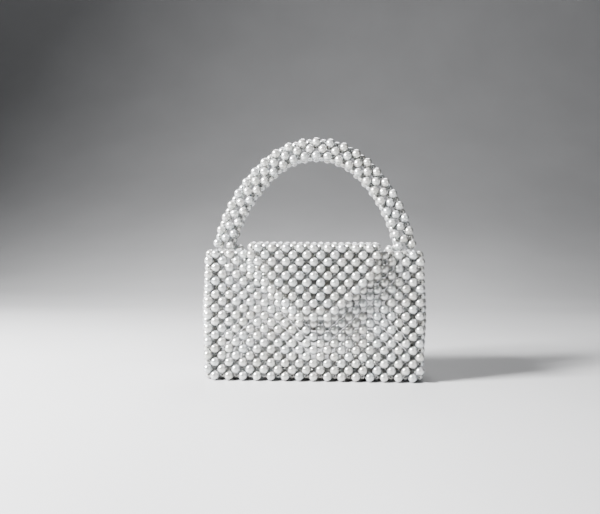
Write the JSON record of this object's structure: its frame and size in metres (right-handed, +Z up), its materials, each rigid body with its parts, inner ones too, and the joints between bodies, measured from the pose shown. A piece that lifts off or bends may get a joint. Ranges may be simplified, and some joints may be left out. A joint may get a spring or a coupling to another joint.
{
  "type": "pearl evening bag",
  "caption": "Box-shaped evening bag woven from round pearls in right-angle weave, with a fold-over flap and an arched top handle.",
  "frame": {"origin": "on the surface the bag stands on, under the middle of its base", "axes": "+Z up, +X to the bag's right seen from the front, -Y the front with the flap"},
  "size_m": [0.2476, 0.0966, 0.2628],
  "materials": {
    "pearl": "pearlescent lacquer on moulded plastic, high gloss",
    "beading_line": "clear nylon monofilament"
  },
  "bodies": {
    "bag": {"front_panel_pearls": "pearl", "front_rim_pearls": "pearl", "front_base_edge_pearls": "pearl", "back_panel_pearls": "pearl", "back_rim_pearls": "pearl", "back_base_edge_pearls": "pearl", "base_panel_pearls": "pearl", "left_corner_pearls": "pearl", "right_corner_pearls": "pearl", "left_gusset_pearls": "pearl", "right_gusset_pearls": "pearl", "left_shoulder_pearls": "pearl", "right_shoulder_pearls": "pearl", "front_panel_line": "beading_line", "back_panel_line": "beading_line", "base_panel_line": "beading_line", "left_gusset_line": "beading_line", "right_gusset_line": "beading_line", "left_shoulder_line": "beading_line", "right_shoulder_line": "beading_line"},
    "flap_cover": {"flap_cover_pearls": "pearl", "flap_fold_pearls": "pearl", "flap_cover_line": "beading_line"},
    "flap_front": {"flap_front_pearls": "pearl", "flap_front_line": "beading_line"},
    "handle": {"handle_arch_pearls": "pearl", "handle_left_leg_pearls": "pearl", "handle_right_leg_pearls": "pearl", "handle_arch_line": "beading_line", "handle_left_leg_line": "beading_line", "handle_right_leg_line": "beading_line"}
  },
  "joints": [
    {"name": "cover_hinge", "type": "hinge", "parent": "bag", "child": "flap_cover", "pos_m": [0, 0.037, 0.13275], "axis": [-1, 0, 0], "range_deg": [0, 36]},
    {"name": "flap_fold", "type": "hinge", "parent": "flap_cover", "child": "flap_front", "pos_m": [0, -0.0468, 0.1393], "axis": [-1, 0, 0], "range_deg": [0, 120]},
    {"name": "handle_tilt", "type": "hinge", "parent": "bag", "child": "handle", "pos_m": [0, 0, 0.13275], "axis": [1, 0, 0], "range_deg": [-8, 8], "stiffness_Nm_per_rad": 2}
  ]
}
